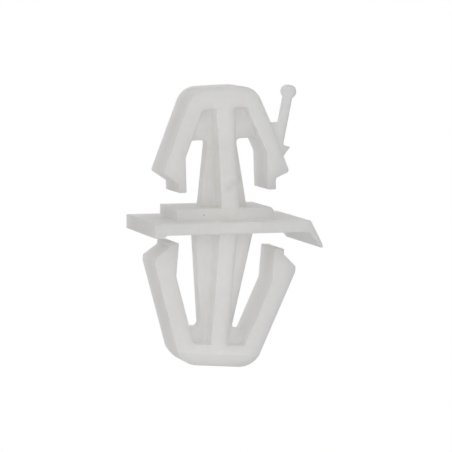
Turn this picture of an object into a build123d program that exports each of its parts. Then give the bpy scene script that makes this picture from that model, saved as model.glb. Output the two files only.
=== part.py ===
from build123d import *
import os
from math import cos, radians, sin, tan

# Millimetres. X runs along the flange, -Y is the front, +Z points up the stem to the upper anchor.
# The origin is on the stem axis, on the flat underside of the flange.

# flange plate
flange_left = -8.44
flange_length = 15.97
flange_depth = 10.6
flange_t = 1.12

# lip under the left end of the flange
lip_drop = 0.27
lip_width = 0.84
lip_slope = 0.35

# sprung skirt that droops from the right end of the flange
skirt_drop = 1.6
skirt_reach = 1.45
skirt_root = 0.12
skirt_tip = 0.33
skirt_root_r = 0.35
skirt_tip_r = 0.1
skirt_corner = 0.45

# raised pad on the flange
pad_left = -5.61
pad_right = 4.46
pad_depth = 6.14
pad_h = 1.2
pad_corner = 0.2
pad_bevel = 0.32

# both anchors: depth of the wings and nose, thickness of the arms and pocket floors
anchor_depth = 4.5
web_t = 1.5

# upper anchor, in its own axes: z up its stem, leaned about the origin
upper_lean = 2.06
upper_top = 14.25
upper_round = 2.2
upper_flank_deg = 22.8
upper_flank_x = 4.9
upper_flank_z = 10.0
upper_wall = 1.58
upper_pocket_top = 12.15
upper_slot_top = 9.0
upper_slot_r = 0.4
upper_shoulder_z = 6.06
upper_right_shoulder_x = 6.5
upper_right_shoulder_z = 5.55
upper_shoulder_r = 0.28
upper_ledge_z = 4.96
upper_tongue_in = 4.25
upper_tongue_out = 5.05
upper_tongue_end = 3.85
upper_left_tongue_end = 4.03
upper_arm_x = 1.56
upper_arm_z = 8.25
upper_arm_slope = 0.136
upper_rib_top = 1.0
upper_rib_w = 0.88
upper_rib_narrow_z = 9.0
upper_rib_foot_h = 0.6

# thin blade on the right flank: finger with a round end, notch and barb
blade_t = 1.0
finger_w = 0.72
finger_foot_x = 6.22
finger_foot_z = 8.4
finger_lean_deg = 13.0
finger_end_r = 0.67
finger_end_z = 13.38
notch_z = 10.36
barb_root_x = 6.57
barb_root_z = 8.06
barb_tip_x = 7.26
barb_tip_z = 7.84
barb_tip_r = 0.07
barb_low_x = 6.47
barb_low_z = 6.92

# lower anchor, in its own axes: z up its stem, leaned about the origin
lower_lean = -4.5
lower_end = -13.7
lower_round = 1.9
lower_left_round = 2.6
lower_flank_slope = 0.36
lower_flank_x = 5.81
lower_flank_z = -8.0
lower_wall_x = 1.9
lower_pocket_end = -11.48
lower_slot_end = -9.95
lower_slot_r = 0.45
lower_tongue_in = 5.05
lower_tongue_out = 5.96
lower_tongue_top = -1.5
lower_ledge_z = -2.05
lower_shoulder_x = 7.33
lower_shoulder_z = -3.22
lower_arm_x = 2.88
lower_arm_z = -1.2
lower_arm_slope = 0.148
lower_rib_w = 0.87
bevel_z = -12.38
bevel_end = -13.9
bevel_in = 0.95

# roundings shared by both anchors
pocket_r = 0.42
ledge_r = 0.28
bend_r = 0.8
edge_r = 0.12

# hollow rounding where the ribs meet the pocket floors, and how those long edges are found
rib_root_r = 0.4
root_pick_r = 0.15
root_min = 1.5

# how far one form runs into the next
lap = 0.4

# how close a corner must lie to the place it is looked for
pick_r = 0.02

flange_right = flange_left + flange_length
pad_top = flange_t + pad_h
half_depth = anchor_depth / 2
half_web = web_t / 2
half_flange = flange_depth / 2
finger_half = finger_w / 2
pad_half = pad_depth / 2


def upperFlank(z):
    return upper_flank_x + (upper_flank_z - z) * tan(radians(upper_flank_deg))


def upperInner(z):
    return upperFlank(z) - upper_wall * (1 + tan(radians(upper_flank_deg)) ** 2) ** 0.5


def upperArm(z):
    return upper_arm_x + (upper_arm_z - z) * upper_arm_slope


def fingerAxis(z):
    return finger_foot_x + (z - finger_foot_z) * tan(radians(finger_lean_deg))


def lowerFlank(z):
    return lower_flank_x + (z - lower_flank_z) * lower_flank_slope


def lowerInner(z):
    return lowerFlank(z) - lower_wall_x


def lowerArm(z):
    return lower_arm_x + (z - lower_arm_z) * lower_arm_slope


def mirrored(points):
    return points + [(-x, z) for x, z in reversed(points)]


def near(sketch, x, z):
    corners = sketch.vertices()
    return [v for v in corners if abs(abs(v.X) - x) < pick_r and abs(v.Y - z) < pick_r]


def ribRoots(shape, lean, half_width, side):
    found = []
    for edge in shape.edges():
        ends = [point.rotate(Axis.Y, lean) for point in (edge @ 0, edge @ 1)]
        on_floor = all(abs(abs(end.Y) - half_web) < pick_r for end in ends)
        at_rib = all(abs(abs(end.X) - half_width) < root_pick_r for end in ends)
        on_side = all(side * end.Z > -lap for end in ends)
        if on_floor and at_rib and on_side and abs(ends[0].Z - ends[1].Z) > root_min:
            found.append(edge)
    return found


def frontPlane(lean):
    across = (cos(radians(lean)), 0, sin(radians(lean)))
    return Plane(origin=(0, 0, 0), x_dir=across, z_dir=(0, -1, 0))


def sidePlane(lean):
    across = (cos(radians(lean)), 0, sin(radians(lean)))
    return Plane(origin=(0, 0, 0), x_dir=(0, 1, 0), z_dir=across)


upper_plane = frontPlane(upper_lean)
lower_plane = frontPlane(lower_lean)

# where the straight inner wall of each wing meets its tongue
upper_bend = upper_flank_z - (upper_tongue_in - upperInner(upper_flank_z)) / tan(
    radians(upper_flank_deg)
)
lower_flank_top = lower_flank_z + (lower_shoulder_x - lower_flank_x) / lower_flank_slope
lower_bend = lower_flank_z + (lower_tongue_in - lowerInner(lower_flank_z)) / lower_flank_slope

# raised pad, with a bevel along its right end
with BuildPart() as pad:
    with BuildSketch(Plane.XZ):
        Polygon(
            (pad_left, flange_t),
            (pad_right, flange_t),
            (pad_right, pad_top - pad_bevel),
            (pad_right - pad_bevel, pad_top),
            (pad_left, pad_top),
            align=None,
        )
    extrude(amount=pad_half, both=True)
    fillet(pad.edges().filter_by(Axis.Z), radius=pad_corner)

# ribs of the upper stem: narrow towards the foot seen from the front, deeper towards it from the side
with BuildPart() as upper_rib:
    with BuildSketch(upper_plane):
        Polygon(
            *mirrored(
                [
                    (upper_rib_top, upper_pocket_top + lap),
                    (upper_rib_w, upper_rib_narrow_z),
                    (upper_rib_w, flange_t + lap),
                ]
            ),
            align=None,
        )
    extrude(amount=pad_half, both=True)
    with BuildSketch(sidePlane(upper_lean)):
        Polygon(
            *mirrored(
                [
                    (half_depth, upper_pocket_top + 2 * lap),
                    (half_depth, upper_pocket_top),
                    (pad_half, pad_top + upper_rib_foot_h),
                    (pad_half, flange_t),
                ]
            ),
            align=None,
        )
    extrude(amount=4, both=True, mode=Mode.INTERSECT)

# nose and wings of the lower anchor, with the nose bevelled front and back
with BuildPart() as lower_head:
    with BuildSketch(lower_plane) as lower_outline:
        Polygon(
            *mirrored(
                [
                    (lowerFlank(lower_end), lower_end),
                    (lower_shoulder_x, lower_flank_top),
                    (lower_shoulder_x, lower_shoulder_z),
                    (lower_tongue_out, lower_ledge_z),
                    (lower_tongue_out, lower_tongue_top),
                    (lower_tongue_in, lower_tongue_top),
                    (lower_tongue_in, lower_bend),
                    (lowerInner(lower_pocket_end), lower_pocket_end),
                ]
            ),
            align=None,
        )
        nose = near(lower_outline, lowerFlank(lower_end), lower_end)
        fillet([corner for corner in nose if corner.X < 0], radius=lower_left_round)
        fillet(near(lower_outline, lowerFlank(lower_end), lower_end), radius=lower_round)
        fillet(near(lower_outline, lower_shoulder_x, lower_shoulder_z), radius=ledge_r)
        fillet(near(lower_outline, lower_tongue_out, lower_ledge_z), radius=ledge_r)
        fillet(near(lower_outline, lower_tongue_out, lower_tongue_top), radius=edge_r)
        fillet(near(lower_outline, lower_tongue_in, lower_tongue_top), radius=edge_r)
        fillet(near(lower_outline, lower_tongue_in, lower_bend), radius=bend_r)
        fillet(near(lower_outline, lowerInner(lower_pocket_end), lower_pocket_end), radius=pocket_r)
    extrude(amount=half_depth, both=True)
    with BuildSketch(sidePlane(lower_lean)):
        Polygon(
            *mirrored(
                [
                    (half_depth + 1, 4),
                    (half_depth + 1, bevel_z),
                    (half_depth, bevel_z),
                    (half_depth - bevel_in, bevel_end),
                ]
            ),
            align=None,
        )
    extrude(amount=12, both=True, mode=Mode.INTERSECT)

with BuildPart() as clip:
    # flange with its lip and its skirt, one section carried through the whole depth
    with BuildSketch(Plane.XZ) as flange_section:
        Polygon(
            (flange_left, flange_t),
            (flange_right, flange_t),
            (flange_right + skirt_reach, -skirt_drop),
            (flange_right + skirt_reach - skirt_tip, -skirt_drop),
            (flange_right - skirt_root, 0),
            (flange_left + lip_width + lip_slope, 0),
            (flange_left + lip_width, -lip_drop),
            (flange_left, -lip_drop),
            align=None,
        )
        fillet(near(flange_section, flange_right - skirt_root, 0), radius=skirt_root_r)
        fillet(near(flange_section, flange_right + skirt_reach, -skirt_drop), radius=skirt_tip_r)
    extrude(amount=half_flange, both=True)
    with BuildSketch() as flange_plan:
        Polygon(
            (flange_left, -half_flange),
            (flange_right + skirt_reach, -half_flange),
            (flange_right + skirt_reach, half_flange),
            (flange_left, half_flange),
            align=None,
        )
        fillet(near(flange_plan, flange_right + skirt_reach, half_flange), radius=skirt_corner)
        fillet(near(flange_plan, flange_right + skirt_reach, -half_flange), radius=skirt_corner)
    extrude(amount=flange_t + skirt_drop, both=True, mode=Mode.INTERSECT)

    add(pad.part)

    # upper anchor: nose and wings
    with BuildSketch(upper_plane) as upper_outline:
        Polygon(
            (upperFlank(upper_top), upper_top),
            (upperFlank(notch_z), notch_z),
            (upper_right_shoulder_x, upper_right_shoulder_z),
            (upper_tongue_out, upper_ledge_z),
            (upper_tongue_out, upper_tongue_end),
            (upper_tongue_in, upper_tongue_end),
            (upper_tongue_in, upper_bend),
            *mirrored([(upperInner(upper_pocket_top), upper_pocket_top)]),
            (-upper_tongue_in, upper_bend),
            (-upper_tongue_in, upper_left_tongue_end),
            (-upper_tongue_out, upper_left_tongue_end),
            (-upper_tongue_out, upper_ledge_z),
            (-upperFlank(upper_shoulder_z), upper_shoulder_z),
            (-upperFlank(upper_top), upper_top),
            align=None,
        )
        fillet(near(upper_outline, upperFlank(upper_top), upper_top), radius=upper_round)
        fillet(
            near(upper_outline, upperFlank(upper_shoulder_z), upper_shoulder_z)
            + near(upper_outline, upper_right_shoulder_x, upper_right_shoulder_z),
            radius=upper_shoulder_r,
        )
        fillet(near(upper_outline, upper_tongue_out, upper_ledge_z), radius=ledge_r)
        fillet(near(upper_outline, upper_tongue_out, upper_tongue_end), radius=edge_r)
        fillet(near(upper_outline, upper_tongue_in, upper_tongue_end), radius=edge_r)
        fillet(near(upper_outline, upper_tongue_out, upper_left_tongue_end), radius=edge_r)
        fillet(near(upper_outline, upper_tongue_in, upper_left_tongue_end), radius=edge_r)
        fillet(near(upper_outline, upper_tongue_in, upper_bend), radius=bend_r)
        fillet(
            near(upper_outline, upperInner(upper_pocket_top), upper_pocket_top),
            radius=pocket_r,
        )
    extrude(amount=half_depth, both=True)

    # upper anchor: pocket floors and the arms of the stem
    with BuildSketch(upper_plane) as upper_web:
        Polygon(
            *mirrored(
                [
                    (upperInner(upper_pocket_top + lap), upper_pocket_top + lap),
                    (upperInner(upper_slot_top) + lap, upper_slot_top),
                    (upperArm(upper_slot_top), upper_slot_top),
                    (upperArm(flange_t + lap), flange_t + lap),
                ]
            ),
            align=None,
        )
        fillet(
            near(upper_web, upperArm(upper_slot_top), upper_slot_top),
            radius=upper_slot_r,
        )
    extrude(amount=half_web, both=True)

    # blade on the right flank
    with BuildSketch(upper_plane) as blade:
        Polygon(
            (upperFlank(notch_z) - lap, notch_z),
            (fingerAxis(notch_z), notch_z),
            (finger_foot_x + finger_half, finger_foot_z),
            (barb_root_x, barb_root_z),
            (barb_tip_x, barb_tip_z),
            (barb_low_x, barb_low_z),
            (upperFlank(notch_z) - lap, barb_low_z),
            align=None,
        )
        fillet(near(blade, barb_tip_x, barb_tip_z), radius=barb_tip_r)
        with BuildLine():
            Line((finger_foot_x, finger_foot_z), (fingerAxis(finger_end_z), finger_end_z))
        trace(line_width=finger_w)
        with Locations((fingerAxis(finger_end_z), finger_end_z)):
            Circle(finger_end_r)
    extrude(amount=blade_t / 2, both=True)

    add(upper_rib.part)
    fillet(ribRoots(clip, upper_lean, upper_rib_w, 1), radius=rib_root_r)

    # lower anchor: pocket floors and the arms of the stem
    with BuildSketch(lower_plane) as lower_web:
        Polygon(
            *mirrored(
                [
                    (lowerInner(lower_pocket_end - lap), lower_pocket_end - lap),
                    (lowerInner(lower_slot_end) + lap, lower_slot_end),
                    (lowerArm(lower_slot_end), lower_slot_end),
                    (lowerArm(lap), lap),
                ]
            ),
            align=None,
        )
        fillet(
            near(lower_web, lowerArm(lower_slot_end), lower_slot_end),
            radius=lower_slot_r,
        )
    extrude(amount=half_web, both=True)

    # lower anchor: ribs of the stem
    with BuildSketch(lower_plane):
        Polygon(
            *mirrored([(lower_rib_w, lower_pocket_end - lap), (lower_rib_w, lap)]),
            align=None,
        )
    extrude(amount=half_depth, both=True)
    add(lower_head.part)
    fillet(ribRoots(clip, lower_lean, lower_rib_w, -1), radius=rib_root_r)

clip.part.label = "clip"
os.makedirs("parts", exist_ok=True)
export_step(clip.part, "parts/clip.step")
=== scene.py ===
import math

import bpy
import numpy as np
from mathutils import Matrix, Vector

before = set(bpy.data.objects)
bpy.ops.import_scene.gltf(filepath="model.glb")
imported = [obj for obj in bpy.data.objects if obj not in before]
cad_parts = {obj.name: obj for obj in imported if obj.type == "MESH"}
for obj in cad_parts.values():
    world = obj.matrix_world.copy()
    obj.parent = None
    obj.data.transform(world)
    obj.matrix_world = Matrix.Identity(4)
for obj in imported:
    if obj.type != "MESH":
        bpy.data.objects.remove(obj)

mm = 0.001


def writeSize():
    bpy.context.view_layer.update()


def linearColour(code):
    channels = [int(code[i : i + 2], 16) / 255 for i in (1, 3, 5)]
    return [c / 12.92 if c <= 0.04045 else ((c + 0.055) / 1.055) ** 2.4 for c in channels] + [1.0]


# Settings and links go by name, or by number where a node has several sockets of one name.
def addNode(tree, kind, settings=None, links=None):
    node = tree.nodes.new(kind)
    for name, value in (settings or {}).items():
        if isinstance(name, str) and hasattr(node, name):
            setattr(node, name, value)
        else:
            node.inputs[name].default_value = value
    for name, source in (links or {}).items():
        tree.links.new(source, node.inputs[name])
    return node


def newMaterial(name):
    material = bpy.data.materials.new(name)
    material.use_nodes = True
    material.node_tree.nodes.clear()
    return material, material.node_tree


writeSize()
print("frame loaded")

# Natural moulded nylon: pale, faintly warm and milky, so its edges and thin walls look soft.
# Broad faint clouds come from uneven cooling, and a fine grain from the mould's spark-eroded walls.
nylon = {
    "pale": "#E4E1DE",
    "deep": "#DFDCD8",
    "cloudMm": 3.2,
    "mottleMm": 0.55,
    "mottleShare": 0.45,
    "deepBelow": 0.36,  # noise values where the deep and the pale colour are reached
    "paleAbove": 0.64,
    "grainMm": 0.09,
    "grainHeightMm": 0.0025,
    "grainStrength": 0.35,
    "roughness": 0.7,
    "gloss": 0.5,
    "ior": 1.53,
    "milk": 1.0,
    "milkMm": 16.0,  # how far light wanders inside before it comes out again
    "milkTint": (1.0, 0.93, 0.85),  # red goes furthest, which warms the shaded pockets
    "edgeMm": 0.08,
    "edgeSamples": 8,
}

# A dark speck on the pad's front, and a faint grey darkening in three soft spots along a diagonal at the
# right of the upper stem's foot.
# Each mark is full within its core, a share of its radius, and fades out at the radius.
marks = [
    {"atMm": (-2.83, -3.07, 1.71), "radiusMm": 0.09, "core": 0.5, "colour": "#A19E9A"},
    {"atMm": (-0.25, -2.93, 4.32), "radiusMm": 0.65, "core": 0.0, "colour": "#D5D2CE"},
    {"atMm": (0.20, -2.93, 4.80), "radiusMm": 0.65, "core": 0.0, "colour": "#D5D2CE"},
    {"atMm": (1.45, -0.75, 5.10), "radiusMm": 0.85, "core": 0.0, "colour": "#D5D2CE"},
]


def cloudyColour(tree, place):
    clouds = addNode(
        tree,
        "ShaderNodeTexNoise",
        {"Scale": 1 / (nylon["cloudMm"] * mm), "Detail": 2.0, "Roughness": 0.5},
        {"Vector": place},
    )
    mottle = addNode(
        tree,
        "ShaderNodeTexNoise",
        {"Scale": 1 / (nylon["mottleMm"] * mm), "Detail": 3.0, "Roughness": 0.6},
        {"Vector": place},
    )
    broad = addNode(
        tree,
        "ShaderNodeMath",
        {"operation": "MULTIPLY", 1: 1 - nylon["mottleShare"]},
        {0: clouds.outputs["Fac"]},
    )
    both = addNode(
        tree,
        "ShaderNodeMath",
        {"operation": "MULTIPLY_ADD", 1: nylon["mottleShare"]},
        {0: mottle.outputs["Fac"], 2: broad.outputs[0]},
    )
    ramp = addNode(tree, "ShaderNodeValToRGB", links={"Fac": both.outputs[0]})
    low, high = ramp.color_ramp.elements
    low.position, high.position = nylon["deepBelow"], nylon["paleAbove"]
    low.color, high.color = linearColour(nylon["deep"]), linearColour(nylon["pale"])
    return ramp.outputs["Color"]


def addMark(tree, place, colour, mark):
    away = addNode(
        tree,
        "ShaderNodeVectorMath",
        {"operation": "DISTANCE", 1: [v * mm for v in mark["atMm"]]},
        {"Vector": place},
    )
    radius = mark["radiusMm"] * mm
    fade = addNode(
        tree,
        "ShaderNodeMapRange",
        {"interpolation_type": "SMOOTHSTEP", "From Min": radius, "From Max": radius * mark["core"]},
        {"Value": away.outputs["Value"]},
    )
    # a colour mix has its two colours in sockets 6 and 7, and its result in output 2
    marked = addNode(
        tree,
        "ShaderNodeMix",
        {"data_type": "RGBA", 7: linearColour(mark["colour"])},
        {"Factor": fade.outputs["Result"], 6: colour},
    )
    return marked.outputs[2]


def nylonMaterial():
    material, tree = newMaterial("natural_moulded_nylon")
    place = addNode(tree, "ShaderNodeTexCoord").outputs["Object"]
    colour = cloudyColour(tree, place)
    for mark in marks:
        colour = addMark(tree, place, colour, mark)
    # moulded edges are never quite sharp, so each one catches a little light
    softEdge = addNode(
        tree,
        "ShaderNodeBevel",
        {"samples": nylon["edgeSamples"], "Radius": nylon["edgeMm"] * mm},
    )
    grain = addNode(
        tree,
        "ShaderNodeTexNoise",
        {"Scale": 1 / (nylon["grainMm"] * mm), "Detail": 1.0},
        {"Vector": place},
    )
    bump = addNode(
        tree,
        "ShaderNodeBump",
        {"Strength": nylon["grainStrength"], "Distance": nylon["grainHeightMm"] * mm},
        {"Height": grain.outputs["Fac"], "Normal": softEdge.outputs["Normal"]},
    )
    shader = addNode(
        tree,
        "ShaderNodeBsdfPrincipled",
        {
            "Roughness": nylon["roughness"],
            "IOR": nylon["ior"],
            "Specular IOR Level": nylon["gloss"],
            "Subsurface Weight": nylon["milk"],
            "Subsurface Radius": nylon["milkTint"],
            "Subsurface Scale": nylon["milkMm"] * mm,
        },
        {"Base Color": colour, "Normal": bump.outputs["Normal"]},
    )
    addNode(tree, "ShaderNodeOutputMaterial", links={"Surface": shader.outputs["BSDF"]})
    return material


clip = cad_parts["clip"]
clipMaterial = nylonMaterial()
for slot in clip.material_slots:
    slot.link = "OBJECT"
    slot.material = clipMaterial
print("clip finished")

# Stage: a pale floor well below the clip, which the photo shows hanging free, and a white surrounding.
stageLook = {
    "floor": "#E6E6E6",
    "floorZMm": -400.0,
    "floorHalfMm": 1500.0,
    "floorLift": 1.0,
    "ambient": 0.39,  # what the surrounding lights with, while it shows as plain white
    "white": (1, 1, 1, 1),
}


# 1 where the eye meets something straight on, in a gloss or through a clear piece, and 0 elsewhere.
def seenShare(tree):
    seen = addNode(tree, "ShaderNodeLightPath")
    direct = addNode(
        tree,
        "ShaderNodeMath",
        {"operation": "MAXIMUM"},
        {0: seen.outputs["Is Camera Ray"], 1: seen.outputs["Is Glossy Ray"]},
    )
    through = addNode(
        tree,
        "ShaderNodeMath",
        {"operation": "MAXIMUM"},
        {0: direct.outputs[0], 1: seen.outputs["Is Transmission Ray"]},
    )
    return through.outputs[0]


# Pale matt board: it takes the clip's shadow, and its own faint light makes it read as white paper.
def floorMaterial():
    material, tree = newMaterial("pale_floor")
    matt = addNode(tree, "ShaderNodeBsdfDiffuse", {"Color": linearColour(stageLook["floor"])})
    lift = addNode(tree, "ShaderNodeEmission", {"Strength": stageLook["floorLift"]})
    both = addNode(tree, "ShaderNodeAddShader", links={0: matt.outputs[0], 1: lift.outputs[0]})
    mix = addNode(
        tree,
        "ShaderNodeMixShader",
        links={"Fac": seenShare(tree), 1: matt.outputs[0], 2: both.outputs[0]},
    )
    addNode(tree, "ShaderNodeOutputMaterial", links={"Surface": mix.outputs[0]})
    return material


def makeFloor():
    half = stageLook["floorHalfMm"] * mm
    z = stageLook["floorZMm"] * mm
    mesh = bpy.data.meshes.new("floor")
    mesh.from_pydata(
        [(-half, -half, z), (half, -half, z), (half, half, z), (-half, half, z)],
        [],
        [(0, 1, 2, 3)],
    )
    floor = bpy.data.objects.new("floor", mesh)
    bpy.context.scene.collection.objects.link(floor)
    mesh.materials.append(floorMaterial())


# White surrounding: an even soft light from all round, against which the pale clip keeps its outline.
def makeWorld():
    world = bpy.data.worlds.new("surround")
    bpy.context.scene.world = world
    world.use_nodes = True
    tree = world.node_tree
    tree.nodes.clear()
    soft, white = (
        addNode(tree, "ShaderNodeBackground", {"Strength": strength, "Color": stageLook["white"]})
        for strength in (stageLook["ambient"], 1.0)
    )
    mix = addNode(
        tree,
        "ShaderNodeMixShader",
        links={"Fac": seenShare(tree), 1: soft.outputs[0], 2: white.outputs[0]},
    )
    addNode(tree, "ShaderNodeOutputWorld", links={"Surface": mix.outputs[0]})


makeFloor()
makeWorld()

# Lamps: a soft box beside the camera and weaker ones from the right, from below and from behind, so that
# the pockets are nearly as light as the fronts and the tops a little darker.
lamps = [
    {"name": "camera_box", "atMm": (-130, -400, 0), "sizeMm": 300, "watts": 0.90},
    {"name": "right_box", "atMm": (200, -370, 0), "sizeMm": 400, "watts": 0.27},
    {"name": "low_box", "atMm": (-60, -330, -200), "sizeMm": 300, "watts": 0.08},
    {"name": "back_box", "atMm": (0, 420, 60), "sizeMm": 500, "watts": 0.54},
]


# Each lamp looks at the clip.
def makeLamp(spec):
    data = bpy.data.lights.new(spec["name"], "AREA")
    data.shape = "SQUARE"
    data.size = spec["sizeMm"] * mm
    data.energy = spec["watts"]
    lamp = bpy.data.objects.new(spec["name"], data)
    place = Vector(spec["atMm"]) * mm
    turn = (-place).to_track_quat("-Z", "Y").to_matrix().to_4x4()
    lamp.matrix_world = Matrix.Translation(place) @ turn
    bpy.context.scene.collection.objects.link(lamp)


for spec in lamps:
    makeLamp(spec)
print("stage and lamps set")

# Camera: angles in degrees, with azimuth 0 straight in front and 90 from the left end, and a long lens
# from close by, as in the photo. The aim is near the origin, and the camera stands a little aside of it.
view = {
    "azimuth": 17.77,
    "elevation": 5.94,
    "roll": 0.40,
    "distanceMm": 253.2,
    "acrossMm": 0.52,
    "upMm": 0.242,
    "aimMm": (-0.12, 0.0, 0.0),
    "focalPx": 2532.0,  # focal length in pixels of the square frame
    "framePx": 452.0,
    "sensorMm": 36.0,
    "nearM": 0.01,
    "farM": 10.0,
}


def makeCamera():
    azimuth, elevation, roll = (math.radians(view[k]) for k in ("azimuth", "elevation", "roll"))
    back = np.array(
        [
            -math.sin(azimuth) * math.cos(elevation),
            -math.cos(azimuth) * math.cos(elevation),
            math.sin(elevation),
        ]
    )
    right = np.array([math.cos(azimuth), -math.sin(azimuth), 0.0])
    up = np.cross(back, right)
    across = math.cos(roll) * right + math.sin(roll) * up
    above = math.cos(roll) * up - math.sin(roll) * right
    offset = view["acrossMm"] * across + view["upMm"] * above + view["distanceMm"] * back
    place = (np.array(view["aimMm"]) + offset) * mm
    data = bpy.data.cameras.new("camera")
    data.sensor_width = view["sensorMm"]
    data.lens = view["sensorMm"] * view["focalPx"] / view["framePx"]
    data.clip_start = view["nearM"]
    data.clip_end = view["farM"]
    camera = bpy.data.objects.new("camera", data)
    matrix = np.eye(4)
    matrix[:3] = np.column_stack([across, above, back, place])
    camera.matrix_world = Matrix(matrix.tolist())
    bpy.context.scene.collection.objects.link(camera)
    bpy.context.scene.camera = camera


makeCamera()
bpy.context.scene.view_settings.view_transform = "Standard"
writeSize()
print("camera set")
